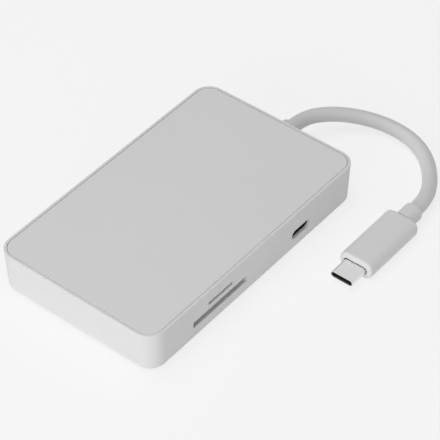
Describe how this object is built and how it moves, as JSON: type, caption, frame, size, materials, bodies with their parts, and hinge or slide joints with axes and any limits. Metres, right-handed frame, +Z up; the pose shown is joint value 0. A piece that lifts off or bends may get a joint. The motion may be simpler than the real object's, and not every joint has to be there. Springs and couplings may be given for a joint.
{
  "type": "usb hub",
  "caption": "Flat white hub with push-push card slots, a small port and far-side ports, and a short captive lead ending in a reversible plug.",
  "frame": {"origin": "bottom centre of the hub's body, on the surface that its feet stand on; the lead and plug lie beside it on the same surface", "axes": "+X along the long side towards the wall that the lead leaves, -Y the wall with the card slots and the small port, +Z up"},
  "size_m": [0.1343, 0.0887, 0.0152],
  "materials": {
    "black_insert": "black moulded",
    "blue_insert": "blue moulded",
    "board_laminate": "green solder mask",
    "case_plastic": "fine satin moulded white",
    "ceramic": "tan ceramic",
    "chip_plastic": "black epoxy",
    "contact_gold": "gold plated",
    "cover_plastic": "gloss white",
    "crystal_can": "metal can",
    "ferrite_body": "dark ferrite",
    "foot_rubber": "pale grey rubber",
    "lead_jacket": "soft satin white",
    "plug_chrome": "polished",
    "plug_plastic": "satin moulded white",
    "port_shell_steel": "nickel plated",
    "screw_steel": "zinc plated",
    "slider_plastic": "ivory moulded",
    "socket_cover_steel": "stamped stainless",
    "socket_plastic": "black moulded",
    "spring_steel": "spring wire",
    "wire_jacket": "thin coloured wire"
  },
  "bodies": {
    "hub": {"board_screws": "screw_steel", "bulk_capacitors": "ceramic", "cable_gland": "lead_jacket", "capacitors": "ceramic", "card_reader_chip": "chip_plastic", "cover_screws": "screw_steel", "crystals": "crystal_can", "ferrites": "ferrite_body", "housing": "case_plastic", "hub_chip": "chip_plastic", "inductors": "ferrite_body", "lead": "lead_jacket", "lead_inner_end": "lead_jacket", "lead_wires": "wire_jacket", "main_board": "board_laminate", "memory_chip": "chip_plastic", "microsd_contacts": "contact_gold", "microsd_socket_base": "socket_plastic", "microsd_socket_cover": "socket_cover_steel", "microsd_spring": "spring_steel", "plug_contacts": "contact_gold", "plug_front_collar": "plug_plastic", "plug_grip": "plug_plastic", "plug_insulator": "black_insert", "plug_shell": "plug_chrome", "plug_strain_relief": "plug_plastic", "port_switch_chip": "chip_plastic", "power_chip": "chip_plastic", "resistors": "ceramic", "rubber_feet": "foot_rubber", "sd_contacts": "contact_gold", "sd_socket_base": "socket_plastic", "sd_socket_cover": "socket_cover_steel", "sd_spring": "spring_steel", "top_cover": "cover_plastic", "usb_a_port_1_contacts": "contact_gold", "usb_a_port_1_shell": "port_shell_steel", "usb_a_port_1_tongue": "blue_insert", "usb_a_port_2_contacts": "contact_gold", "usb_a_port_2_shell": "port_shell_steel", "usb_a_port_2_tongue": "blue_insert", "usb_c_port_contacts": "contact_gold", "usb_c_port_shell": "port_shell_steel", "usb_c_port_tongue": "black_insert", "video_chip": "chip_plastic", "video_port_contacts": "contact_gold", "video_port_shell": "port_shell_steel", "video_port_tongue": "black_insert"},
    "sd_slide": {"sd_slider": "slider_plastic"},
    "microsd_slide": {"microsd_slider": "slider_plastic"}
  },
  "joints": [
    {"name": "sd_slider_travel", "type": "slide", "parent": "hub", "child": "sd_slide", "axis": [0, 1, 0], "range_m": [0, 0.0045], "stiffness_N_per_m": 250, "springref_m": -0.002, "deforming": ["sd_spring"]},
    {"name": "microsd_slider_travel", "type": "slide", "parent": "hub", "child": "microsd_slide", "axis": [0, 1, 0], "range_m": [0, 0.003], "stiffness_N_per_m": 200, "springref_m": -0.0015, "deforming": ["microsd_spring"]}
  ]
}
